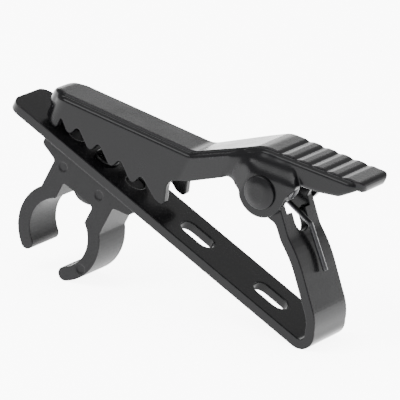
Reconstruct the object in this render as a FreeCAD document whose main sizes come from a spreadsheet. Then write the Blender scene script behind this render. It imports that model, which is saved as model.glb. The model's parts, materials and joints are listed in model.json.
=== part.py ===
import FreeCAD, Part
import math
import os

import Sketcher
from FreeCAD import Placement, Rotation, Vector

# Alligator tie clip with a snap-in holder for a lavalier microphone capsule.
#
# Every piece is drawn in the strap's own frame: X runs along the strap from its front tip to the
# bend at the back, Y runs across it, and Z is the normal of its upper face, which is at Z = 0.
# The pieces are then placed together in the pose in which the clip lies on a table: it rests on
# the rear arm of the holder and on the bend, so the strap leans back by the rest tilt.

os.makedirs("parts", exist_ok=True)
doc = FreeCAD.newDocument("lavalier_clip")
sheet = doc.addObject("Spreadsheet::Sheet", "sizes")

SIZES = {
    # pose on a table, and where the strap's own origin stands
    "rest_tilt": 25.546,
    "strap_origin_along": -19.44,
    "strap_origin_up": 18.789,
    # base strap: one stamped strip with a bend at the back and a riser with two ears
    "strap_width": 7.0,
    "strap_gauge": 1.2,
    "strap_front": -4.8,
    "strap_corner": 1.6,
    "heel_corner": 42.56,
    "heel_radius": 1.3,
    "foot_run": 3.9,
    "foot_angle": 112.0,
    "knee_radius": 4.5,
    "riser_run": 7.2,
    "riser_angle": 137.5,
    "bow_radius": 14.0,
    "crest_run": 2.56,
    "crest_angle": 152.0,
    "tang_run": 2.6,
    "tang_angle": 138.0,
    "tang_radius": 4.0,
    "tang_slot_half": 1.3,
    "slot_front": 22.65,
    "slot_pitch": 11.5,
    "slot_length": 4.8,
    "slot_width": 2.4,
    # pivot
    "pivot_along": 28.6,
    "pivot_up": 12.5,
    "pin_radius": 1.0,
    "pin_play": 0.05,
    "pin_head_radius": 1.98,
    "pin_head_height": 0.6,
    "pin_head_edge": 0.32,
    "pin_head_flat": 1.089,
    "pin_head_dome": 2.5,
    "pin_tail_radius": 1.45,
    "pin_tail_height": 0.62,
    # strap ears
    "inner_ear_radius": 2.6,
    "inner_ear_gauge": 1.15,
    "web_rise": 1.3,
    "web_run": 1.4,
    "web_reach": 3.0,
    "web_radius": 0.8,
    "ear_gap_run": 1.9,
    "ear_gap_front": 4.0,
    "ear_gap_rear": 4.6,
    # jaw and thumb lever: one stamping
    "jaw_gauge": 0.9,
    "jaw_width": 5.4,
    "lever_width": 7.4,
    "jaw_front": -1.08,
    "jaw_nose_drop": 0.62,
    "crown_front": -1.68,
    "crown_front_drop": 2.0,
    "nose_radius": 1.6,
    "neck_radius": 3.0,
    "brow_radius": 3.5,
    "shoulder_start": 4.0,
    "jaw_angle": 16.0,
    "neck_along": 18.24,
    "neck_angle": 43.3,
    "brow_along": 25.96,
    "lever_angle": 18.3,
    "lever_end": 38.7,
    "lever_end_width": 6.8,
    "lever_lip_up": 19.65,
    "flange_end": 38.1,
    "flare_start": 18.3,
    "flare_end": 23.6,
    "outer_ear_radius": 3.0,
    "outer_ear_inner_face": 3.6,
    "joggle_radius": 3.15,
    "crown_margin": 0.5,
    "jaw_crown": 0.42,
    "lever_crown": 0.28,
    "shoulder_fillet": 0.48,
    "groove_first": 28.1,
    "groove_pitch": 1.9,
    "groove_count": 5,
    "groove_depth": 0.2,
    "groove_radius": 0.1,
    "groove_mouth": 0.84,
    "groove_lip": 0.03,
    "groove_lip_radius": 0.5,
    "wave_rise": 0.06,
    "wave_radius": 2.1,
    "ear_ramp_start": 2.1,
    "ear_ramp_end": 3.8,
    "ear_front_ramp_start": 23.6,
    "ear_front_ramp_end": 26.5,
    "tool_span": 60.0,
    # teeth
    "tooth_count": 4,
    "tooth_pitch": 3.31,
    "tooth_first_along": 3.54,
    "tooth_first_up": 0.54,
    "tooth_climb": 0.145,
    "tooth_depth": 1.87,
    "tooth_lean": 0.52,
    "tooth_tip_radius": 0.55,
    "tooth_root_radius": 0.4,
    # torsion spring
    "wire_radius": 0.3,
    "coil_radius": 1.9,
    "coil_pitch": 1.22,
    "coil_exit_across": 1.27,
    "coil_start_angle": 120.0,
    "coil_sweep_angle": 870.0,
    "upper_leg": 2.4,
    "leg_bend_along": 33.9,
    "leg_bend_across": 0.4,
    "leg_bend_up": 10.6,
    "leg_tip_along": 38.35,
    "leg_tip_across": 0.2,
    "leg_tip_up": 7.15,
    # microphone holder
    "holder_along": 8.1,
    "holder_width": 5.5,
    "bore_radius": 4.15,
    "bore_drop": 10.6,
    "arm_gauge": 1.7,
    "arm_end_angle": 38.0,
    "saddle_floor": 4.8,
    "saddle_half": 7.1,
    "saddle_end": 2.4,
    "saddle_haunch": 3.1,
    "stem_outer": 4.7,
    "stem_inner": 2.33,
    "stem_foot": 3.2175,
    "peg_half_pitch": 4.6,
    "peg_radius": 1.15,
    "peg_hole_radius": 1.2,
    "peg_height": 0.15,
    "mark_radius": 0.6,
    "mark_depth": 0.12,
    "arm_mark_angle": -22.0,
    "front_mark_along": 3.3,
    "rear_mark_along": 2.4,
    "rear_mark_up": 0.15,
    # holder rivet
    "rivet_radius": 0.9,
    "rivet_head_radius": 1.9,
    "rivet_head_height": 1.3,
    "rivet_tail_radius": 1.5,
    "rivet_tail_height": 0.4,
}

# Corners that shape one outline each: along the strap, up from it, and the corner's radius
SPOTS = {
    # lower edge of the lever's flange, from its tip down to the ear
    "flange_dip_rear": (36.6, 17.75, 1.6),
    "flange_dip_front": (34.3, 16.55, 3.0),
    "flange_root": (31.2, 15.4, 1.0),
    "flange_foot": (29.7, 14.95, 0.0),
    # lower edge of the neck, from the ear to the teeth
    "ear_root": (25.4, 10.9, 0.0),
    "neck_rear": (23.85, 10.75, 0.6),
    "neck_front": (19.83, 6.66, 1.5),
    "heel_notch": (17.15, 4.5, 1.2),
    # hooked tooth at the back, and the small step in front of the first one
    "hook_rear": (18.35, 1.5, 0.5),
    "hook_front": (16.84, 1.5, 0.8),
    "front_notch": (1.6, 1.95, 0.14),
    "front_tooth": (1.72, 0.28, 0.42),
    # web between the round ear and the flange
    "web_low": (25.75, 10.85, 0.7),
    "web_front": (23.9, 11.1, 0.6),
    "web_neck": (23.6, 12.2, 1.0),
    "web_brow": (25.2, 14.6, 2.5),
    "web_top": (27.2, 16.2, 2.5),
    "web_rear": (30.6, 17.2, 1.0),
    "web_fold": (32.2, 15.8, 0.5),
}
for spot_name, spot_values in SPOTS.items():
    for quantity, value in zip(("along", "up", "round"), spot_values):
        SIZES[f"{spot_name}_{quantity}"] = value

for row, (name, value) in enumerate(SIZES.items(), start=1):
    sheet.set(f"A{row}", name)
    sheet.set(f"B{row}", str(value))
    sheet.setAlias(f"B{row}", name)


def size(name):
    """Read one value of the sheet as a plain number."""
    return float(getattr(sheet, name))


def spot(name):
    """Corner of an outline: along, up and radius."""
    return size(f"{name}_along"), size(f"{name}_up"), size(f"{name}_round")


doc.recompute()

UP = Rotation(Vector(1, 0, 0), 90)  # turns a sketch so that its second axis is Z
LEVEL = Rotation()
SIDE_VIEW = "XZ_Plane"
PLAN_VIEW = "XY_Plane"


def cell(name, scale=1):
    """Expression that follows a cell of the sheet."""
    return f"sizes.{name} * {scale}"


def walk(start, angle, distance):
    """Point at a distance from start along an angle in degrees from +X."""
    turn = math.radians(angle)
    return (start[0] + distance * math.cos(turn), start[1] + distance * math.sin(turn))


# ---------------------------------------------------------------------------------------------
# Outlines: a closed outline is a list of corners (first, second, radius)
# ---------------------------------------------------------------------------------------------

def corner_cut(before, corner, after, radius):
    """Tangent points and centre of the arc that rounds a corner."""
    here = Vector(corner[0], corner[1], 0)
    back = Vector(before[0], before[1], 0).sub(here)
    ahead = Vector(after[0], after[1], 0).sub(here)
    back.normalize()
    ahead.normalize()
    half = back.getAngle(ahead) / 2
    reach = radius / math.tan(half)
    bisector = back.add(ahead)
    bisector.normalize()
    centre = here.add(bisector.multiply(radius / math.sin(half)))
    enter = here.add(Vector(back).multiply(reach))
    leave = here.add(Vector(ahead).multiply(reach))
    middle = here.sub(centre)
    middle.normalize()
    return enter, centre.add(middle.multiply(radius)), leave


def outline_edges(corners):
    """Line segments and arcs of a closed outline with rounded corners."""
    stops = []
    reaches = []
    for index, corner in enumerate(corners):
        before = corners[index - 1]
        after = corners[(index + 1) % len(corners)]
        if corner[2] > 0:
            stops.append(corner_cut(before, corner, after, corner[2]))
        else:
            point = Vector(corner[0], corner[1], 0)
            stops.append((point, None, point))
        reaches.append(stops[-1][0].distanceToPoint(Vector(corner[0], corner[1], 0)))
    for index, corner in enumerate(corners):
        following = (index + 1) % len(corners)
        side = math.dist(corner[:2], corners[following][:2])
        if reaches[index] + reaches[following] > side + 1e-6:
            raise ValueError(f"the radii at {corner} and {corners[following]} overlap")
    edges = []
    for index, (enter, middle, leave) in enumerate(stops):
        if middle is not None:
            edges.append(Part.Arc(enter, middle, leave))
        following = stops[(index + 1) % len(stops)][0]
        if leave.distanceToPoint(following) > 1e-6:
            edges.append(Part.LineSegment(leave, following))
    return edges


def fill_sketch(sketch, corners):
    """Draw a closed outline into a sketch and hold it where it is."""
    for edge in outline_edges(corners):
        sketch.addGeometry(edge, False)
    for index in range(sketch.GeometryCount):
        sketch.addConstraint(Sketcher.Constraint("Block", index))


def fill_circle(sketch, centre, radius_cell):
    """Draw a circle whose radius follows the sheet."""
    index = sketch.addGeometry(Part.Circle(Vector(centre[0], centre[1], 0), Vector(0, 0, 1), 1))
    sketch.addConstraint(Sketcher.Constraint("DistanceX", -1, 1, index, 3, centre[0]))
    sketch.addConstraint(Sketcher.Constraint("DistanceY", -1, 1, index, 3, centre[1]))
    radius = sketch.addConstraint(Sketcher.Constraint("Radius", index, size(radius_cell)))
    sketch.setExpression(f"Constraints[{radius}]", cell(radius_cell))


# ---------------------------------------------------------------------------------------------
# Body features
# ---------------------------------------------------------------------------------------------

def new_body(name):
    body = doc.addObject("PartDesign::Body", name)
    body.Label = name
    return body


def body_sketch(body, name, role):
    """Empty sketch on one of the body's own origin planes."""
    sketch = body.newObject("Sketcher::SketchObject", name)
    plane = next(item for item in body.Origin.OriginFeatures if item.Role == role)
    sketch.AttachmentSupport = [(plane, "")]
    sketch.MapMode = "FlatFace"
    return sketch


def symmetric_pad(body, sketch, name, width_expression):
    pad = body.newObject("PartDesign::Pad", name)
    pad.Profile = sketch
    pad.SideType = "Symmetric"
    pad.setExpression("Length", width_expression)
    doc.recompute()
    return pad


def symmetric_pocket(body, sketch, name, width_expression):
    before = body.Shape.Volume
    pocket = body.newObject("PartDesign::Pocket", name)
    pocket.Profile = sketch
    pocket.SideType = "Symmetric"
    pocket.setExpression("Length", width_expression)
    doc.recompute()
    if body.Shape.Volume >= before - 1e-6:
        raise RuntimeError(f"{name} cuts nothing")
    return pocket


def revolved(name, half_profile):
    """Body of revolution about its own Y axis: half_profile is a list of (radius, across)."""
    body = new_body(name)
    sketch = body_sketch(body, f"{name}_profile", PLAN_VIEW)
    fill_sketch(sketch, half_profile)
    turn = body.newObject("PartDesign::Revolution", f"{name}_turn")
    turn.Profile = sketch
    turn.ReferenceAxis = (sketch, ["V_Axis"])
    turn.Angle = 360
    doc.recompute()
    return body


def edges_where(shape, test):
    """Names of the edges that pass a test of their middle point and their direction there."""
    names = []
    for index, edge in enumerate(shape.Edges, start=1):
        middle = (edge.FirstParameter + edge.LastParameter) / 2
        if test(edge.valueAt(middle), edge.tangentAt(middle)):
            names.append(f"Edge{index}")
    return names


def fillet(body, name, edge_names, radius_cell):
    if not edge_names:
        raise RuntimeError(f"{name} found no edge")
    base = body.Tip
    feature = body.newObject("PartDesign::Fillet", name)
    feature.Base = (base, edge_names)
    feature.setExpression("Radius", cell(radius_cell))
    doc.recompute()
    return feature


# ---------------------------------------------------------------------------------------------
# Part-workbench features
# ---------------------------------------------------------------------------------------------

def free_sketch(name, corners, turn):
    sketch = doc.addObject("Sketcher::SketchObject", name)
    sketch.Placement = Placement(Vector(), turn)
    fill_sketch(sketch, corners)
    return sketch


def extrusion(name, sketch, length_expression):
    """Solid on both sides of its sketch's plane."""
    solid = doc.addObject("Part::Extrusion", name)
    solid.Base = sketch
    solid.DirMode = "Normal"
    solid.Solid = True
    solid.Symmetric = True
    solid.setExpression("LengthFwd", length_expression)
    return solid


def boolean(kind, name, base, tool):
    result = doc.addObject(f"Part::{kind}", name)
    result.Base = base
    result.Tool = tool
    return result


def fused(name, pieces):
    result = doc.addObject("Part::MultiFuse", name)
    result.Shapes = pieces
    result.Refine = True
    return result


def rounded_rim(name, base, line, depth, inside, radius):
    """Round the upper rim of a block whose top follows a line in side view."""
    doc.recompute()

    def on_rim(point, _run):
        deep = roof_height(line, point.x) - point.z
        return deep < depth and abs(point.y) >= inside and point.x > size("jaw_front") + 0.3

    result = doc.addObject("Part::Fillet", name)
    result.Base = base
    numbers = [int(edge[4:]) for edge in edges_where(base.Shape, on_rim)]
    result.Edges = [(number, radius, radius) for number in numbers]
    return result


PIVOT = (size("pivot_along"), size("pivot_up"))


# ---------------------------------------------------------------------------------------------
# Base strap
# ---------------------------------------------------------------------------------------------

def strap_corners():
    """Corners of the strip's middle line in side view, with their bend radii."""
    middle = -size("strap_gauge") / 2
    front = (size("strap_front"), middle)
    heel = (size("heel_corner"), middle)
    knee = walk(heel, size("foot_angle"), size("foot_run"))
    bow = walk(knee, size("riser_angle"), size("riser_run"))
    crest = walk(bow, size("crest_angle"), size("crest_run"))
    tang = walk(crest, size("tang_angle"), size("tang_run"))
    return [
        (front[0], front[1], 0),
        (heel[0], heel[1], size("heel_radius")),
        (knee[0], knee[1], size("knee_radius")),
        (bow[0], bow[1], size("bow_radius")),
        (crest[0], crest[1], size("tang_radius")),
        (tang[0], tang[1], 0),
    ]


def strip_outline(line, gauge):
    """Both faces of a strip bent at every corner of its middle line."""
    left_face = []
    right_face = []
    last = len(line) - 1
    for index, (along, up, radius) in enumerate(line):
        directions = []
        if index > 0:
            directions.append(math.atan2(up - line[index - 1][1], along - line[index - 1][0]))
        if index < last:
            directions.append(math.atan2(line[index + 1][1] - up, line[index + 1][0] - along))
        mean = sum(directions) / len(directions)
        spread = (directions[-1] - directions[0]) / 2
        reach = gauge / 2 / math.cos(spread)
        normal = (-math.sin(mean), math.cos(mean))
        swell = math.copysign(gauge / 2, spread) if radius else 0
        left_face.append((along + reach * normal[0], up + reach * normal[1], radius - swell))
        right_face.append((along - reach * normal[0], up - reach * normal[1], radius + swell))
    return right_face + left_face[::-1]


def tang_points(run):
    """Points on the outer and inner face of the tang, a run down from its end."""
    end = strap_corners()[-1]
    angle = size("tang_angle")
    half = size("strap_gauge") / 2
    outer = walk(walk(end, angle - 90, half), angle + 180, run)
    inner = walk(walk(end, angle + 90, half), angle + 180, run)
    return outer, inner


def inner_ear_web():
    """Web of a strap ear, from the round end about the pin down to the tang."""
    radius = size("inner_ear_radius")
    top = tang_points(-size("web_rise"))[0]
    foot, heel = tang_points(size("web_run"))
    return [
        (PIVOT[0], PIVOT[1], 0),
        (top[0], top[1], 0),
        (foot[0], foot[1], 0),
        (heel[0], heel[1], 0),
        (PIVOT[0] + size("web_reach"), PIVOT[1] - radius, size("web_radius")),
        (PIVOT[0], PIVOT[1] - radius, 0),
    ]


def make_strap():
    body = new_body("base_strap")
    line = strap_corners()
    strip = body_sketch(body, "strap_side", SIDE_VIEW)
    fill_sketch(strip, strip_outline(line, size("strap_gauge")))
    symmetric_pad(body, strip, "strap_strip", cell("strap_width"))

    front = size("strap_front")
    fillet(
        body,
        "strap_front_corners",
        edges_where(body.Shape,
                    lambda point, run: abs(point.x - front) < 1e-4 and abs(run.z) > 0.99),
        "strap_corner",
    )

    web = body_sketch(body, "inner_ear_web", SIDE_VIEW)
    fill_sketch(web, inner_ear_web())
    symmetric_pad(body, web, "inner_ear_webs", cell("strap_width"))
    eye = body_sketch(body, "inner_ear_round", SIDE_VIEW)
    fill_circle(eye, PIVOT, "inner_ear_radius")
    symmetric_pad(body, eye, "inner_ear_rounds", cell("strap_width"))

    # the space between the two ears, down to the end of the tang and its inner face
    outer, inner = tang_points(0)
    low = tang_points(size("ear_gap_run"))[1]
    clear = walk(outer, size("tang_angle") - 90, size("strap_gauge") / 2)
    gap = body_sketch(body, "ear_gap", SIDE_VIEW)
    fill_sketch(gap, [
        (clear[0], clear[1], 0),
        (PIVOT[0] + size("ear_gap_rear"), PIVOT[1] + size("ear_gap_front"), 0),
        (PIVOT[0] - size("ear_gap_front"), PIVOT[1] + size("ear_gap_front"), 0),
        (PIVOT[0] - size("ear_gap_front"), low[1], 0),
        (low[0], low[1], 0),
        (inner[0], inner[1], 0),
    ])
    symmetric_pocket(body, gap, "ear_gap_cut", "sizes.strap_width - 2 * sizes.inner_ear_gauge")

    # slot in the middle of the tang that lets the spring's leg through
    half_slot = size("tang_slot_half")
    crest = line[-2]
    slot = body_sketch(body, "tang_slot", PLAN_VIEW)
    slot.AttachmentOffset = Placement(
        Vector(crest[0], 0, crest[1]),
        Rotation(Vector(0, 1, 0), 180 - size("crest_angle")),
    )
    fill_sketch(slot, [
        (-2 * size("tang_run"), -half_slot, 0),
        (0, -half_slot, half_slot - 0.01),
        (0, half_slot, half_slot - 0.01),
        (-2 * size("tang_run"), half_slot, 0),
    ])
    symmetric_pocket(body, slot, "tang_slot_cut", "sizes.strap_gauge * 4")

    eye_hole = body_sketch(body, "pin_hole", SIDE_VIEW)
    fill_circle(eye_hole, PIVOT, "pin_radius")
    doc.recompute()
    eye_hole.setExpression("Constraints[2]", "sizes.pin_radius + sizes.pin_play")
    symmetric_pocket(body, eye_hole, "pin_holes", cell("strap_width", 2))

    # slots, peg holes and the rivet hole, all cut down through the flat of the strap
    plan = body_sketch(body, "strap_openings", PLAN_VIEW)
    half_length = size("slot_length") / 2
    half_width = size("slot_width") / 2
    for index in range(2):
        centre = size("slot_front") + index * size("slot_pitch")
        fill_sketch(plan, [
            (centre - half_length, -half_width, half_width),
            (centre + half_length, -half_width, half_width),
            (centre + half_length, half_width, half_width),
            (centre - half_length, half_width, half_width),
        ])
    fill_circle(plan, (size("holder_along") - size("peg_half_pitch"), 0), "peg_hole_radius")
    fill_circle(plan, (size("holder_along") + size("peg_half_pitch"), 0), "peg_hole_radius")
    fill_circle(plan, (size("holder_along"), 0), "rivet_radius")
    symmetric_pocket(body, plan, "strap_openings_cut", "sizes.strap_gauge * 2.2")
    return body


# ---------------------------------------------------------------------------------------------
# Jaw with thumb lever
# ---------------------------------------------------------------------------------------------

def top_line(lift_jaw=0.0, lift_lever=0.0):
    """Corners of the jaw's upper edge in side view, lifted along each stretch's normal."""
    slopes = [math.radians(size(name)) for name in ("jaw_angle", "neck_angle", "lever_angle")]
    start = (0.0, size("shoulder_start"))
    neck_up = start[1] + size("neck_along") * math.tan(slopes[0])
    brow_up = neck_up + (size("brow_along") - size("neck_along")) * math.tan(slopes[1])
    anchors = [start, (size("neck_along"), neck_up), (size("brow_along"), brow_up)]
    lifts = [lift_jaw, (lift_jaw + lift_lever) / 2, lift_lever]
    heights = []
    for slope, anchor, lift in zip(slopes, anchors, lifts):
        heights.append((math.tan(slope), anchor[1] - anchor[0] * math.tan(slope)
                        + lift / math.cos(slope)))

    def crossing(first, second):
        along = (second[1] - first[1]) / (first[0] - second[0])
        return along, first[0] * along + first[1]

    def on(line, along):
        return along, line[0] * along + line[1]

    return heights, crossing(heights[0], heights[1]), crossing(heights[1], heights[2]), on


def roof_height(line, along):
    """Height of the upper edge over a point along the strap."""
    jaw, neck, lever = (slope * along + foot for slope, foot in line)
    return min(max(jaw, neck), lever)


def tooth_corners():
    """Tips and roots of the side wall's teeth, from the back to the front."""
    corners = [spot("heel_notch"), spot("hook_rear"), spot("hook_front")]
    tip_radius = size("tooth_tip_radius")
    root_radius = size("tooth_root_radius")
    for index in reversed(range(int(size("tooth_count")))):
        along = size("tooth_first_along") + index * size("tooth_pitch")
        tip = size("tooth_first_up") + index * size("tooth_climb")
        corners.append((along + size("tooth_lean"), tip + size("tooth_depth"), root_radius))
        corners.append((along, tip, tip_radius))
    return corners + [spot("front_notch"), spot("front_tooth")]


def jaw_side():
    """Side outline of the stamping without its crown."""
    heights, neck, brow, on = top_line()
    front = size("jaw_front")
    end = size("flange_end")
    return [
        (*on(heights[0], front), size("nose_radius")),
        (*neck, size("neck_radius")),
        (*brow, size("brow_radius")),
        (*on(heights[2], end), 0.5),
        (end - 0.1, size("lever_lip_up") - 0.1, 0.4),
        spot("flange_dip_rear"),
        spot("flange_dip_front"),
        spot("flange_root"),
        spot("flange_foot"),
        (PIVOT[0], PIVOT[1], 0),
        spot("ear_root"),
        spot("neck_rear"),
        spot("neck_front"),
    ] + tooth_corners() + [(front, size("jaw_nose_drop"), 0.7)]


def hollow_side():
    """Side outline of the space under the roof."""
    gauge = size("jaw_gauge")
    heights, neck, brow, on = top_line(-gauge, -gauge)
    front = size("jaw_front") + gauge
    end = size("lever_end") - gauge
    below = -3.0
    return [
        (*on(heights[0], front), 0.8),
        (*neck, size("neck_radius")),
        (*brow, size("brow_radius")),
        (*on(heights[2], end), 0.4),
        (end, below, 0),
        (front, below, 0),
    ]


def jaw_plan(inset, front, end, nose_radius):
    """Outline of the stamping from above, drawn in by an inset along both sides."""
    narrow = size("jaw_width") / 2 - inset
    wide = size("lever_width") / 2 - inset
    tail = size("lever_end_width") / 2 - inset
    half = [
        (front, -narrow, nose_radius),
        (size("flare_start"), -narrow, 2.5),
        (size("flare_end"), -wide, 2.5),
        (end, -tail, 1.2),
    ]
    mirrored = [(along, -across, radius) for along, across, radius in reversed(half)]
    return half + mirrored


def crown_side():
    """Side outline of the raised crown: it overhangs the nose and turns down at the tip."""
    heights, neck, brow, on = top_line(size("jaw_crown"), size("lever_crown"))
    low, low_neck, low_brow, on_low = top_line(-0.6, -0.6)
    front = size("crown_front")
    end = size("lever_end")
    lip = size("lever_lip_up")
    return [
        (*on(heights[0], front), 1.7),
        (*neck, size("neck_radius")),
        (*brow, size("brow_radius")),
        (*on(heights[2], end), 0.7),
        (end, lip, 0.2),
        (end - 1.2, lip, 0),
        (*on_low(low[2], end - 1.2), 0),
        (*low_brow, size("neck_radius")),
        (*low_neck, size("neck_radius")),
        (*on_low(low[0], 1.0), 0),
        (1.0, size("crown_front_drop"), 0),
        (front, size("crown_front_drop"), 0.35),
    ]


def groove_outline():
    """Side outline of the comb that cuts the cross grooves into the lever's panel."""
    heights, _neck, _brow, on = top_line(0, size("lever_crown"))
    half_pitch = size("groove_pitch") / 2
    half_mouth = size("groove_mouth") / 2
    count = int(size("groove_count"))

    def over(along, rise, radius=0.0):
        return along, on(heights[2], along)[1] + rise, radius

    corners = []
    for index in range(count):
        along = size("groove_first") + index * size("groove_pitch")
        corners.append(over(along - half_mouth, -size("groove_lip"), size("groove_lip_radius")))
        corners.append(over(along, -size("groove_depth"), size("groove_radius")))
        corners.append(over(along + half_mouth, -size("groove_lip"), size("groove_lip_radius")))
        corners.append(over(along + half_pitch, size("wave_rise"), size("wave_radius")))
    corners.pop()
    ahead = size("groove_first") - half_pitch
    behind = ahead + count * size("groove_pitch")
    far = size("lever_lip_up") + size("pivot_up")
    return [over(ahead, size("wave_rise"))] + corners + [
        over(behind, size("wave_rise")),
        (behind, far, 0),
        (ahead, far, 0),
    ]


def outer_ear_outline():
    """Round ear outside the strap's ear, with the web that joins it to the lever's flange."""
    radius = size("outer_ear_radius")
    right = walk(PIVOT, 0, radius)
    low = walk(PIVOT, 215, radius)
    return [
        (PIVOT[0], PIVOT[1], 0),
        (low[0], low[1], 0),
        spot("web_low"),
        spot("web_front"),
        spot("web_neck"),
        spot("web_brow"),
        spot("web_top"),
        spot("web_rear"),
        spot("web_fold"),
        (right[0], right[1] + 1.6, 0.8),
        (right[0], right[1], 0),
    ]


def ear_ramp_section():
    """Section across the lever that slopes the ears into the flanges above them."""
    face = size("outer_ear_inner_face") + size("jaw_gauge")
    flange = size("lever_width") / 2 - 0.15
    low = -2 * size("outer_ear_radius")
    high = size("ear_ramp_end") + 1.5
    half = [
        (face, low, 0),
        (face, size("ear_ramp_start"), 1.5),
        (flange, size("ear_ramp_end"), 1.5),
        (flange, high, 0),
    ]
    return half + [(-across, up, radius) for across, up, radius in reversed(half)]


def ear_ramp_plan():
    """Plan of the ears: they slope into the neck in front of them."""
    face = size("outer_ear_inner_face") + size("jaw_gauge")
    half = [
        (size("ear_front_ramp_start"), size("lever_width") / 2 - 0.15, 0),
        (size("ear_front_ramp_end"), face, 1.5),
        (PIVOT[0] + 2 * size("outer_ear_radius"), face, 0),
    ]
    return half + [(along, -across, radius) for along, across, radius in reversed(half)]


def make_ears(side_flange):
    """Outer ears and the joggles that set them outside the strap's ears."""
    ear_width = "2 * (sizes.outer_ear_inner_face + sizes.jaw_gauge)"
    web = extrusion("outer_ear_webs", free_sketch("outer_ear_web", outer_ear_outline(), UP),
                    ear_width)
    circle = doc.addObject("Sketcher::SketchObject", "outer_ear_round")
    circle.Placement = Placement(Vector(), UP)
    fill_circle(circle, PIVOT, "outer_ear_radius")
    eye = extrusion("outer_ear_rounds", circle, ear_width)
    across_lever = Rotation(Vector(0, 1, 0), -size("lever_angle")).multiply(
        Rotation(Vector(1, 1, 1), 120))
    section = free_sketch("ear_ramp_section", ear_ramp_section(), across_lever)
    section.Placement = Placement(Vector(PIVOT[0], 0, PIVOT[1]), across_lever)
    slope = extrusion("ear_ramp", section, cell("tool_span"))
    front_slope = extrusion("ear_front_ramp",
                            free_sketch("ear_ramp_plan", ear_ramp_plan(), LEVEL),
                            cell("tool_span"))
    block = fused("outer_ears_square", [web, eye])
    ears = boolean("Common", "outer_ears_block",
                   boolean("Common", "outer_ears_sloped", block, slope), front_slope)

    # everything between the ears goes, apart from the joggle that lies over the side flange
    blank = size("lever_width") + 4
    around = 3 * size("outer_ear_radius")
    between = extrusion(
        "between_outer_ears",
        free_sketch("between_outline", [
            (PIVOT[0] - around, PIVOT[1] - around, 0),
            (PIVOT[0] + around, PIVOT[1] - around, 0),
            (PIVOT[0] + around, PIVOT[1] + around, 0),
            (PIVOT[0] - around, PIVOT[1] + around, 0),
        ], UP),
        "2 * sizes.outer_ear_inner_face",
    )
    plates = boolean("Cut", "outer_ears", ears, between)

    wide_flange = extrusion("joggle_blank", side_flange, str(blank))
    joggle = boolean("Common", "joggle_solid", ears, wide_flange)
    turning_room = doc.addObject("Part::Cylinder", "turning_room")
    turning_room.setExpression("Radius", cell("joggle_radius"))
    turning_room.setExpression("Height", "2 * sizes.outer_ear_inner_face")
    turning_room.Placement = Placement(
        Vector(PIVOT[0], size("outer_ear_inner_face"), PIVOT[1]), UP)
    joggles = boolean("Cut", "joggles", joggle, turning_room)
    return plates, joggles, turning_room


def make_jaw():
    gauge = size("jaw_gauge")
    front = size("jaw_front")
    end = size("lever_end")
    margin = size("crown_margin")
    side = free_sketch("jaw_side", jaw_side(), UP)
    plan = free_sketch("jaw_plan", jaw_plan(0, front, size("flange_end"), 2.4), LEVEL)
    tall = cell("tool_span")
    outer = boolean(
        "Common", "jaw_blank",
        extrusion("jaw_side_block", side, "sizes.lever_width + 2"),
        extrusion("jaw_plan_block", plan, tall),
    )
    inside_plan = jaw_plan(gauge, front + gauge, end - gauge, 1.5)
    hollow = boolean(
        "Common", "jaw_hollow",
        extrusion("jaw_hollow_side", free_sketch("jaw_inside", hollow_side(), UP),
                  cell("lever_width")),
        extrusion("jaw_hollow_plan", free_sketch("jaw_inside_plan", inside_plan, LEVEL), tall),
    )
    doc.recompute()
    rim = top_line()[0]
    rounded = rounded_rim("jaw_rounded", outer, rim, 0.6, 0.3, size("shoulder_fillet"))
    crown_plan = jaw_plan(margin, size("crown_front"), end, 2.1)
    crown = boolean(
        "Common", "crown_blank",
        extrusion("crown_side_block", free_sketch("crown_side", crown_side(), UP),
                  cell("lever_width")),
        extrusion("crown_plan_block", free_sketch("crown_plan", crown_plan, LEVEL), tall),
    )
    comb = extrusion("groove_comb", free_sketch("groove_outline", groove_outline(), UP),
                     cell("lever_width", 2))
    grooved = boolean("Cut", "crown_grooved", crown, comb)
    plates, joggles, turning_room = make_ears(side)
    shell = boolean("Cut", "jaw_shell", fused("jaw_with_crown", [rounded, grooved]), hollow)
    opened = boolean("Cut", "jaw_shell_opened", shell, turning_room)
    joggle_ring = boolean("Cut", "joggle_ring", joggles, hollow)
    whole = fused("jaw_whole", [opened, plates, joggle_ring])
    pin_hole = doc.addObject("Part::Cylinder", "jaw_pin_hole")
    pin_hole.setExpression("Radius", cell("pin_radius"))
    pin_hole.Height = 2 * size("lever_width")
    pin_hole.Placement = Placement(Vector(PIVOT[0], size("lever_width"), PIVOT[1]), UP)
    jaw = boolean("Cut", "jaw_lever", whole, pin_hole)
    jaw.Label = "jaw_lever"
    return jaw


# ---------------------------------------------------------------------------------------------
# Pivot pin
# ---------------------------------------------------------------------------------------------

def make_pin():
    """Pin across the four ears: low domed head on the near side, riveted tail on the far one."""
    face = size("outer_ear_inner_face") + size("jaw_gauge")
    head = -face - size("pin_head_height")
    tail = face + size("pin_tail_height")
    return revolved("pivot_pin", [
        (0, head, 0),
        (size("pin_head_flat"), head, size("pin_head_dome")),
        (size("pin_head_radius"), -face - size("pin_head_edge"), 0.12),
        (size("pin_head_radius"), -face, 0),
        (size("pin_radius"), -face, 0),
        (size("pin_radius"), face, 0),
        (size("pin_tail_radius"), face, 0),
        (size("pin_tail_radius"), tail, 0.3),
        (0, tail, 0),
    ])


# ---------------------------------------------------------------------------------------------
# Torsion spring
# ---------------------------------------------------------------------------------------------

def rod(name, start, end):
    """Straight length of wire between two points."""
    run = end.sub(start)
    wire = doc.addObject("Part::Cylinder", name)
    wire.setExpression("Radius", cell("wire_radius"))
    wire.Height = run.Length
    wire.Placement = Placement(start, Rotation(Vector(0, 0, 1), run))
    return wire


def elbow(name, centre):
    """Ball that rounds the corner between two lengths of wire."""
    ball = doc.addObject("Part::Sphere", name)
    ball.setExpression("Radius", cell("wire_radius"))
    ball.Placement = Placement(centre, Rotation())
    return ball


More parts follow.
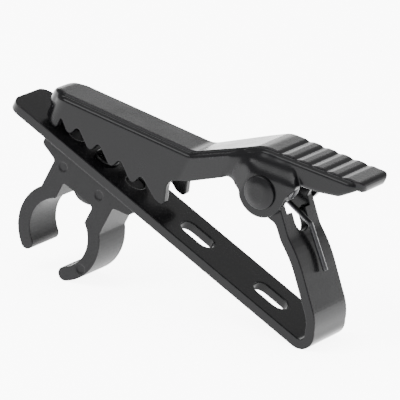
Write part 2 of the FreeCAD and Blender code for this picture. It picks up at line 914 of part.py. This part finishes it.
def make_spring():
    """Open coil round the pin: one leg points under the lever, the other passes the tang."""
    start_angle = size("coil_start_angle")
    sweep_angle = size("coil_sweep_angle")
    radius = size("coil_radius")
    start_across = size("coil_exit_across") - size("coil_pitch") * sweep_angle / 360

    helix = doc.addObject("Part::Helix", "coil_line")
    helix.LocalCoord = "Left-handed"
    helix.setExpression("Pitch", cell("coil_pitch"))
    helix.setExpression("Height", "sizes.coil_pitch * sizes.coil_sweep_angle / 360")
    helix.setExpression("Radius", cell("coil_radius"))
    section = doc.addObject("Part::Circle", "wire_section")
    section.setExpression("Radius", cell("wire_radius"))
    lead = math.degrees(math.atan2(size("coil_pitch"), 2 * math.pi * radius))
    section.Placement = Placement(Vector(radius, 0, 0), Rotation(Vector(1, 0, 0), 90 - lead))
    coil = doc.addObject("Part::Sweep", "coil")
    coil.Sections = [section]
    coil.Spine = (helix, ["Edge1"])
    coil.Solid = True
    coil.Frenet = True
    onto_pin = Rotation(Vector(1, 0, 0), -90)
    turned = Rotation(Vector(0, 1, 0), -start_angle)
    coil.Placement = Placement(Vector(PIVOT[0], start_across, PIVOT[1]), turned.multiply(onto_pin))

    first = walk(PIVOT, start_angle, radius)
    last = walk(PIVOT, start_angle + sweep_angle, radius)
    upper_start = Vector(first[0], start_across, first[1])
    level_run = math.cos(math.radians(lead)) * size("upper_leg")
    upper_end = walk(first, start_angle - 90, level_run)
    side_run = math.sin(math.radians(lead)) * size("upper_leg")
    upper_end = Vector(upper_end[0], start_across - side_run, upper_end[1])
    lower_start = Vector(last[0], size("coil_exit_across"), last[1])
    bend = Vector(size("leg_bend_along"), size("leg_bend_across"), size("leg_bend_up"))
    tip = Vector(size("leg_tip_along"), size("leg_tip_across"), size("leg_tip_up"))
    lengths = [
        coil,
        rod("upper_leg", upper_start, upper_end),
        rod("lower_leg", lower_start, bend),
        rod("tip_leg", bend, tip),
    ]
    elbows = [elbow("lower_elbow", lower_start), elbow("bend_elbow", bend)]
    spring = fused("torsion_spring", lengths + elbows)
    spring.Label = "torsion_spring"
    doc.recompute()
    wire_volume = sum(length.Shape.Volume for length in lengths)
    if spring.Shape.Volume < 0.98 * wire_volume:
        raise RuntimeError("the spring has lost a length of wire")
    return spring


# ---------------------------------------------------------------------------------------------
# Microphone holder
# ---------------------------------------------------------------------------------------------

def make_holder():
    body = new_body("mic_holder")
    along = size("holder_along")
    drop = -size("bore_drop")
    inner = size("bore_radius")
    outer = inner + size("arm_gauge")
    under = -size("strap_gauge")
    floor = -size("saddle_floor")
    half = size("saddle_half")
    stem_out = size("stem_outer")
    stem_in = size("stem_inner")
    foot = size("stem_foot")
    haunch = -size("saddle_haunch")
    end = -size("saddle_end")

    ring = body_sketch(body, "holder_ring", SIDE_VIEW)
    fill_circle(ring, (along, drop), "bore_radius")
    ring.setExpression("Constraints[2]", "sizes.bore_radius + sizes.arm_gauge")
    symmetric_pad(body, ring, "holder_ring_pad", cell("holder_width"))
    saddle = body_sketch(body, "holder_saddle", SIDE_VIEW)
    fill_sketch(saddle, [
        (along - half, under, 0),
        (along + half, under, 0),
        (along + half, end, 0.7),
        (along + stem_out, haunch, 0.5),
        (along + stem_out, drop + foot, 0),
        (along - stem_out, drop + foot, 0),
        (along - stem_out, haunch, 0.5),
        (along - half, end, 0.5),
    ])
    symmetric_pad(body, saddle, "holder_saddle_pad", cell("holder_width"))
    bore = body_sketch(body, "holder_bore", SIDE_VIEW)
    fill_circle(bore, (along, drop), "bore_radius")
    symmetric_pocket(body, bore, "holder_bore_cut", cell("holder_width", 2))
    throat = body_sketch(body, "holder_throat", SIDE_VIEW)
    fill_sketch(throat, [
        (along - stem_in, floor, 0.35),
        (along + stem_in, floor, 0.35),
        (along + stem_in, drop, 0),
        (along - stem_in, drop, 0),
    ])
    symmetric_pocket(body, throat, "holder_throat_cut", cell("holder_width", 2))

    # the mouth: the ring is cut away between its two rounded ends
    angle = size("arm_end_angle")
    reach = outer * 1.6
    left = walk((along, drop), -90 - angle, reach)
    right = walk((along, drop), -90 + angle, reach)
    mouth = body_sketch(body, "holder_mouth", SIDE_VIEW)
    fill_sketch(mouth, [
        (along, drop, 0),
        (left[0], left[1], 0),
        (along, drop - reach * 1.2, 0),
        (right[0], right[1], 0),
    ])
    symmetric_pocket(body, mouth, "holder_mouth_cut", cell("holder_width", 2))
    middle = (inner + outer) / 2
    for side, name in ((-1, "front"), (1, "rear")):
        centre = walk((along, drop), -90 + side * angle, middle)
        tip = body_sketch(body, f"{name}_arm_end", SIDE_VIEW)
        fill_circle(tip, centre, "arm_gauge")
        tip.setExpression("Constraints[2]", "sizes.arm_gauge / 2")
        symmetric_pad(body, tip, f"{name}_arm_end_pad", cell("holder_width"))

    # shallow round marks of the mould's ejector pins on the near face
    marks = body_sketch(body, "holder_marks", SIDE_VIEW)
    arm_mark = walk((along, drop), size("arm_mark_angle"), middle)
    front_mark = (along - size("front_mark_along"), haunch)
    rear_mark = (along + size("rear_mark_along"), haunch + size("rear_mark_up"))
    for centre in (front_mark, rear_mark, arm_mark):
        fill_circle(marks, centre, "mark_radius")
    marks.AttachmentOffset = Placement(Vector(0, 0, size("holder_width") / 2), Rotation())
    symmetric_pocket(body, marks, "holder_marks_cut", "2 * sizes.mark_depth")

    # pegs that locate the saddle in the strap, and the rivet's hole
    pegs = body_sketch(body, "holder_pegs", PLAN_VIEW)
    fill_circle(pegs, (along - size("peg_half_pitch"), 0), "peg_radius")
    fill_circle(pegs, (along + size("peg_half_pitch"), 0), "peg_radius")
    symmetric_pad(body, pegs, "holder_pegs_pad", "2 * (sizes.strap_gauge + 0.3)")
    trim = body_sketch(body, "peg_trim", SIDE_VIEW)
    peg_top = -size("peg_height")
    fill_sketch(trim, [
        (along - half, peg_top, 0),
        (along + half, peg_top, 0),
        (along + half, half, 0),
        (along - half, half, 0),
    ])
    symmetric_pocket(body, trim, "peg_trim_cut", cell("holder_width", 2))
    hole = body_sketch(body, "holder_rivet_hole", PLAN_VIEW)
    fill_circle(hole, (along, 0), "rivet_radius")
    symmetric_pocket(body, hole, "holder_rivet_hole_cut", "2 * (sizes.saddle_floor + 1)")
    return body


# ---------------------------------------------------------------------------------------------
# Holder rivet
# ---------------------------------------------------------------------------------------------

def make_rivet():
    """Rivet that holds the saddle to the strap; its axis is upright."""
    body = new_body("holder_rivet")
    sketch = body_sketch(body, "holder_rivet_profile", SIDE_VIEW)
    floor = -size("saddle_floor")
    head = floor - size("rivet_head_height")
    fill_sketch(sketch, [
        (0, head, 0),
        (size("rivet_head_radius"), head, 0.85),
        (size("rivet_head_radius"), floor, 0),
        (size("rivet_radius"), floor, 0),
        (size("rivet_radius"), 0, 0),
        (size("rivet_tail_radius"), 0, 0),
        (size("rivet_tail_radius"), size("rivet_tail_height"), 0.3),
        (0, size("rivet_tail_height"), 0),
    ])
    turn = body.newObject("PartDesign::Revolution", "holder_rivet_turn")
    turn.Profile = sketch
    turn.ReferenceAxis = (sketch, ["V_Axis"])
    turn.Angle = 360
    doc.recompute()
    return body


# ---------------------------------------------------------------------------------------------
# Assembly: each piece stands at (along, up) of the strap's frame, and the frame leans back
# ---------------------------------------------------------------------------------------------

def place(piece, along, up):
    """Bind a piece's placement to the rest tilt and to the strap's own origin."""
    rightward = f"cos(sizes.rest_tilt * 1deg) * {along} + sin(sizes.rest_tilt * 1deg) * {up}"
    upward = f"cos(sizes.rest_tilt * 1deg) * {up} - sin(sizes.rest_tilt * 1deg) * {along}"
    piece.setExpression(
        "Placement",
        "create(<<placement>>; "
        f"create(<<vector>>; sizes.strap_origin_along + {rightward}; 0; "
        f"sizes.strap_origin_up + {upward}); "
        "create(<<rotation>>; create(<<vector>>; 0; 1; 0); sizes.rest_tilt))",
    )


def check_and_write(pieces):
    doc.recompute()
    for item in doc.Objects:
        if "Invalid" in item.State or "Error" in item.State:
            raise RuntimeError(f"{item.Name} did not recompute: {item.State}")
    for piece in pieces:
        shape = piece.Shape
        if shape.isNull() or not shape.isValid() or len(shape.Solids) != 1:
            raise RuntimeError(f"{piece.Label} is not one valid solid")
    for piece in pieces:
        piece.Shape.exportStep(f"parts/{piece.Label}.step")
        box = piece.Shape.BoundBox
        print(f"{piece.Label}: {piece.Shape.Volume:.1f} mm3, "
              f"X {box.XMin:.2f} to {box.XMax:.2f}, Y {box.YMin:.2f} to {box.YMax:.2f}, "
              f"Z {box.ZMin:.2f} to {box.ZMax:.2f}")


base_strap = make_strap()
mic_holder = make_holder()
holder_rivet = make_rivet()
jaw_lever = make_jaw()
pivot_pin = make_pin()
torsion_spring = make_spring()

for piece in (base_strap, mic_holder, jaw_lever, torsion_spring):
    place(piece, "0", "0")
place(holder_rivet, "sizes.holder_along", "0")
place(pivot_pin, "sizes.pivot_along", "sizes.pivot_up")

check_and_write([base_strap, mic_holder, holder_rivet, jaw_lever, pivot_pin, torsion_spring])
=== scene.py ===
import json
import math

import bpy
import bmesh
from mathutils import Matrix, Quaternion, Vector

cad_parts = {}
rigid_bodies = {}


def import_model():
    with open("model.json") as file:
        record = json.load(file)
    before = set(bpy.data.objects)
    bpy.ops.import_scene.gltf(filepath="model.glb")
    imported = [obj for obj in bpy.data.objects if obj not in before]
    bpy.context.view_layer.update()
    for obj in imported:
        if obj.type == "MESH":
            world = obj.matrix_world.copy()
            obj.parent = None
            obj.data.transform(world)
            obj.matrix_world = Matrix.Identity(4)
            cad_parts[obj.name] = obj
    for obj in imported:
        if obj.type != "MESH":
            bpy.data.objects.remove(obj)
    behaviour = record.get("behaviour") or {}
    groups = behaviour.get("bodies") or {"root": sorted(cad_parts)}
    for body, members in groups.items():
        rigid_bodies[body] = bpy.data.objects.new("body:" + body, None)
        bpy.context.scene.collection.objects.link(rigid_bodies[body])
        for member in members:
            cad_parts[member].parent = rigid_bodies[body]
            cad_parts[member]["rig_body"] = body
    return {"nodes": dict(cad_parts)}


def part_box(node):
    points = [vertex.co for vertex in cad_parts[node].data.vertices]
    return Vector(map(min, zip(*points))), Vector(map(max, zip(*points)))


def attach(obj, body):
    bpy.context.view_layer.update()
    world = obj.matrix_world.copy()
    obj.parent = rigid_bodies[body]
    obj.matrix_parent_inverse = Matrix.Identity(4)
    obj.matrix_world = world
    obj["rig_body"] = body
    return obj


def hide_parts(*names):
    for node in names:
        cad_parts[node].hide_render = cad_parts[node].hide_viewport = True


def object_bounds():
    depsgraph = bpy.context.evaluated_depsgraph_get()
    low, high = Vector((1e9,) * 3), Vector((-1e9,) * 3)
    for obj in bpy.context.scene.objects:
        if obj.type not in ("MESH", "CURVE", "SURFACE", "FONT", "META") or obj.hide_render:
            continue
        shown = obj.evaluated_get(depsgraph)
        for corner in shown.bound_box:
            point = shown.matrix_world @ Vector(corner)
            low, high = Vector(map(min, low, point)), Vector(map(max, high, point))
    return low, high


MM = 0.001

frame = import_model()
cad_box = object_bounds()
MIDDLE = (cad_box[0] + cad_box[1]) / 2


# ---------------------------------------------------------------------------------------------
# Node helpers
# ---------------------------------------------------------------------------------------------

class Nodes:
    """Short-hand for building one material's node tree."""

    def __init__(self, name):
        self.material = bpy.data.materials.new(name)
        self.material.use_nodes = True
        self.tree = self.material.node_tree
        self.shader = self.tree.nodes["Principled BSDF"]
        self.coordinates = self.add("ShaderNodeTexCoord").outputs["Object"]

    def add(self, kind, **settings):
        node = self.tree.nodes.new(kind)
        for key, value in settings.items():
            setattr(node, key, value)
        return node

    def link(self, source, target):
        self.tree.links.new(source, target)

    def noise(self, size, detail=3.0, roughness=0.5):
        """Noise whose features are about size metres across."""
        node = self.add("ShaderNodeTexNoise")
        node.inputs["Scale"].default_value = 1.0 / size
        node.inputs["Detail"].default_value = detail
        node.inputs["Roughness"].default_value = roughness
        self.link(self.coordinates, node.inputs["Vector"])
        return node.outputs["Fac"]

    def remap(self, source, low, high, to_low, to_high):
        node = self.add("ShaderNodeMapRange")
        limits = {"From Min": low, "From Max": high, "To Min": to_low, "To Max": to_high}
        for key, value in limits.items():
            node.inputs[key].default_value = value
        self.link(source, node.inputs["Value"])
        return node.outputs["Result"]

    def blend(self, factor, first, second):
        """Colour between two colours, or between two outputs, by a factor."""
        node = self.add("ShaderNodeMix", data_type="RGBA")
        self.link(factor, node.inputs["Factor"])
        for socket, value in ((node.inputs[6], first), (node.inputs[7], second)):
            if isinstance(value, tuple):
                socket.default_value = (*value, 1.0)
            else:
                self.link(value, socket)
        return node.outputs[2]

    def maths(self, operation, first, second):
        node = self.add("ShaderNodeMath", operation=operation)
        for socket, value in ((node.inputs[0], first), (node.inputs[1], second)):
            if isinstance(value, (int, float)):
                socket.default_value = value
            else:
                self.link(value, socket)
        return node.outputs[0]

    def bump(self, height, depth, strength=1.0, under=None):
        node = self.add("ShaderNodeBump")
        node.inputs["Strength"].default_value = strength
        node.inputs["Distance"].default_value = depth
        self.link(height, node.inputs["Height"])
        if under is not None:
            self.link(under, node.inputs["Normal"])
        return node.outputs["Normal"]

    def pointiness(self, low, high):
        """1 on convex edges, 0 elsewhere."""
        geometry = self.add("ShaderNodeNewGeometry")
        return self.remap(geometry.outputs["Pointiness"], low, high, 0.0, 1.0)


# ---------------------------------------------------------------------------------------------
# Materials
# ---------------------------------------------------------------------------------------------

def black_paint(name, gloss):
    """Semi-gloss black stoving paint on steel: faint orange peel, a painted highlight on convex
    edges, fine dust.
    """
    nodes = Nodes(name)
    patches = nodes.noise(4.0 * MM, detail=4.0)
    speckle = nodes.noise(0.12 * MM, detail=2.0)
    peel = nodes.noise(0.45 * MM, detail=2.0, roughness=0.4)
    # painted highlight: convex edges get a lighter colour, broken up by the speckle, and are a
    # little rougher
    edges = nodes.pointiness(0.52, 0.62)
    highlit_edge_mask = nodes.maths("MULTIPLY", edges, nodes.remap(speckle, 0.35, 0.65, 0.2, 1.0))
    body = nodes.blend(patches, (0.0016, 0.0016, 0.0018), (0.0026, 0.0026, 0.0029))
    # the lighter colour on convex edges is a painted highlight
    colour = nodes.blend(highlit_edge_mask, body, (0.009, 0.009, 0.010))
    nodes.link(colour, nodes.shader.inputs["Base Color"])
    roughness = nodes.remap(patches, 0.3, 0.7, gloss - 0.03, gloss + 0.05)
    roughness = nodes.maths("ADD", roughness, nodes.maths("MULTIPLY", highlit_edge_mask, 0.12))
    nodes.link(roughness, nodes.shader.inputs["Roughness"])
    nodes.shader.inputs["Specular IOR Level"].default_value = 0.07
    fine = nodes.bump(speckle, 0.002 * MM, 0.5)
    nodes.link(nodes.bump(peel, 0.008 * MM, 0.6, fine), nodes.shader.inputs["Normal"])
    return nodes.material


def moulded_plastic(name):
    """Black moulded nylon with the fine matte texture of a spark-eroded mould."""
    nodes = Nodes(name)
    grain = nodes.noise(0.10 * MM, detail=3.0)
    flow = nodes.noise(2.5 * MM, detail=3.0)
    # painted highlight: convex edges get a lighter colour
    edges = nodes.pointiness(0.52, 0.62)
    body = nodes.blend(flow, (0.0030, 0.0030, 0.0032), (0.0046, 0.0046, 0.0049))
    colour = nodes.blend(edges, body, (0.012, 0.012, 0.0125))
    nodes.link(colour, nodes.shader.inputs["Base Color"])
    nodes.link(nodes.remap(grain, 0.3, 0.7, 0.40, 0.56), nodes.shader.inputs["Roughness"])
    nodes.shader.inputs["Specular IOR Level"].default_value = 0.06
    wave = nodes.bump(flow, 0.02 * MM, 0.3)
    nodes.link(nodes.bump(grain, 0.006 * MM, 0.6, wave), nodes.shader.inputs["Normal"])
    return nodes.material


def spring_wire(name):
    """Blackened spring wire with faint die lines along its length."""
    nodes = Nodes(name)
    lines = nodes.noise(0.15 * MM, detail=3.0)
    body = nodes.blend(lines, (0.008, 0.008, 0.009), (0.022, 0.022, 0.024))
    nodes.link(body, nodes.shader.inputs["Base Color"])
    nodes.shader.inputs["Metallic"].default_value = 0.6
    nodes.link(nodes.remap(lines, 0.3, 0.7, 0.28, 0.42), nodes.shader.inputs["Roughness"])
    nodes.link(nodes.bump(lines, 0.004 * MM, 0.5), nodes.shader.inputs["Normal"])
    return nodes.material


def stage_material(name, colour, glow):
    """Pale sheet lit from below, as a light table is."""
    nodes = Nodes(name)
    shade = nodes.noise(0.2, detail=2.0)
    pale = tuple(0.985 * part for part in colour)
    nodes.link(nodes.blend(shade, pale, colour), nodes.shader.inputs["Base Color"])
    nodes.shader.inputs["Roughness"].default_value = 0.9
    nodes.shader.inputs["Specular IOR Level"].default_value = 0.1
    nodes.shader.inputs["Emission Color"].default_value = (1.0, 1.0, 1.0, 1.0)
    nodes.shader.inputs["Emission Strength"].default_value = glow
    return nodes.material


# ---------------------------------------------------------------------------------------------
# Pieces
# ---------------------------------------------------------------------------------------------

def apply_modifiers(piece):
    """Replace a piece's mesh by what its modifiers make of it."""
    shown = piece.evaluated_get(bpy.context.evaluated_depsgraph_get())
    mesh = bpy.data.meshes.new_from_object(shown)
    piece.modifiers.clear()
    piece.data = mesh


def rounded_copy(node, name, grain, rounds):
    """Copy of a CAD node with its sharp edges rounded off evenly."""
    source = frame["nodes"][node]
    piece = bpy.data.objects.new(name, source.data.copy())
    bpy.context.scene.collection.objects.link(piece)
    remesh = piece.modifiers.new("even_grain", "REMESH")
    remesh.mode = "VOXEL"
    remesh.voxel_size = grain
    smooth = piece.modifiers.new("rounded_edges", "SMOOTH")
    smooth.factor = 0.5
    smooth.iterations = rounds
    apply_modifiers(piece)
    piece.data.materials.clear()
    piece.data.polygons.foreach_set("use_smooth", [True] * len(piece.data.polygons))
    piece.data.update()
    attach(piece, source["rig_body"])
    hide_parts(node)
    return piece


def soften(piece, folds, reach, radius):
    """Ease the surface near some points as if its folds there had a larger radius."""
    group = piece.vertex_groups.new(name="eased")
    for vertex in piece.data.vertices:
        nearness = 1.0 - min((vertex.co - fold).length for fold in folds) / reach
        if nearness > 0.0:
            group.add([vertex.index], min(1.0, 3.0 * nearness), "REPLACE")
    ease = piece.modifiers.new("eased", "SMOOTH")
    ease.factor = 0.5
    ease.iterations = round((radius / (FINE * MM)) ** 2)
    ease.vertex_group = group.name
    apply_modifiers(piece)


def finish_piece(piece, material):
    piece.data.materials.append(material)


# voxel size of the even grain, in millimetres
FINE = 0.07
PIN_FINE = FINE * 0.8
WIRE_FINE = 0.05

paint = black_paint("semi_gloss_black_paint", 0.22)
pin_paint = black_paint("satin_black_pin", 0.28)
plastic = moulded_plastic("matte_black_nylon")
wire = spring_wire("black_spring_wire")


def make_jaw():
    """Jaw and lever, with the ears' slopes eased into the flanges and a well-rounded nose."""
    jaw = rounded_copy("jaw_lever", "jaw_and_lever", FINE * MM, 10)
    pin_low, pin_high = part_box("pivot_pin")
    pin_middle = (Vector(pin_low) + Vector(pin_high)) / 2
    head_height = 0.9 * MM
    ear_face = (pin_high[1] - pin_low[1]) / 2 - head_height
    # along and up from the pin: the fold runs round the ear, from the neck to the flange behind it
    fold_path = ((-4.8, 1.4), (-3.6, 3.0), (-1.4, 3.3), (0.6, 3.0), (2.6, 2.6))
    folds = [pin_middle + Vector((along * MM, side * ear_face, up * MM))
             for along, up in fold_path
             for side in (-1.0, 1.0)]
    soften(jaw, folds, 1.6 * MM, 1.2 * MM)

    jaw_low, jaw_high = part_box("jaw_lever")
    behind_front, beside_middle, below_top = 0.9 * MM, 1.7 * MM, 0.4 * MM
    nose = [Vector((jaw_low[0] + behind_front, side * beside_middle, jaw_high[2] - below_top))
            for side in (-1.0, 1.0)]
    soften(jaw, nose, 2.2 * MM, 0.7 * MM)
    return jaw


finish_piece(rounded_copy("base_strap", "strap", FINE * MM, 8), paint)
finish_piece(make_jaw(), paint)
finish_piece(rounded_copy("pivot_pin", "pin", PIN_FINE * MM, 5), pin_paint)
finish_piece(rounded_copy("mic_holder", "holder", FINE * MM, 5), plastic)
finish_piece(rounded_copy("holder_rivet", "rivet", PIN_FINE * MM, 4), pin_paint)
finish_piece(rounded_copy("torsion_spring", "spring", WIRE_FINE * MM, 3), wire)


# ---------------------------------------------------------------------------------------------
# Stage, light and camera
# ---------------------------------------------------------------------------------------------

def make_floor():
    mesh = bpy.data.meshes.new("floor")
    form = bmesh.new()
    half = 3.0
    just_below = -0.01 * MM
    corners = [form.verts.new((x, y, just_below)) for x, y in
               ((-half, -half), (half, -half), (half, half), (-half, half))]
    form.faces.new(corners)
    form.to_mesh(mesh)
    form.free()
    floor = bpy.data.objects.new("floor", mesh)
    bpy.context.scene.collection.objects.link(floor)
    mesh.materials.append(stage_material("pale_floor", (0.93, 0.93, 0.93), glow=7.0))


def soft_box(name, place, width, height, power):
    """Rectangular soft light that faces the middle of the clip."""
    lamp = bpy.data.lights.new(name, "AREA")
    lamp.shape = "RECTANGLE"
    lamp.size = width
    lamp.size_y = height
    lamp.energy = power
    box = bpy.data.objects.new(name, lamp)
    box.location = place
    box.rotation_mode = "QUATERNION"
    box.rotation_quaternion = (MIDDLE - Vector(place)).to_track_quat("-Z", "Y")
    bpy.context.scene.collection.objects.link(box)


def make_world(strength):
    world = bpy.data.worlds.new("studio")
    world.use_nodes = True
    background = world.node_tree.nodes["Background"]
    background.inputs["Color"].default_value = (1.0, 1.0, 1.0, 1.0)
    background.inputs["Strength"].default_value = strength
    bpy.context.scene.world = world


def make_camera():
    """Long lens from the near right, a little above the clip and slightly rolled."""
    azimuth, elevation, roll = (math.radians(angle) for angle in (32.40, 18.58, 3.31))
    distance = 0.5
    aim = Vector((-3.38 * MM, 6.87 * MM, 10.46 * MM))
    back = Vector((math.sin(azimuth) * math.cos(elevation),
                   -math.cos(azimuth) * math.cos(elevation),
                   math.sin(elevation)))
    lens = bpy.data.cameras.new("camera")
    lens.lens = 383.9
    lens.sensor_width = 36.0
    lens.clip_start = 0.05
    lens.clip_end = 20.0
    camera = bpy.data.objects.new("camera", lens)
    camera.location = aim + distance * back
    camera.rotation_mode = "QUATERNION"
    upright = (-back).to_track_quat("-Z", "Y")
    camera.rotation_quaternion = upright @ Quaternion((0, 0, 1), roll)
    bpy.context.scene.collection.objects.link(camera)
    bpy.context.scene.camera = camera


make_floor()
make_world(1.5)
soft_box("front_left", place=(-0.25, -0.38, 0.50), width=0.35, height=0.35, power=7.0)
soft_box("overhead", place=(0.0, 0.05, 0.60), width=0.5, height=0.5, power=2.4)
soft_box("far_left", place=(-0.52, 0.66, 0.25), width=0.5, height=0.22, power=1.6)
soft_box("rear_right", place=(0.45, 0.62, 0.12), width=0.5, height=0.3, power=1.4)
make_camera()
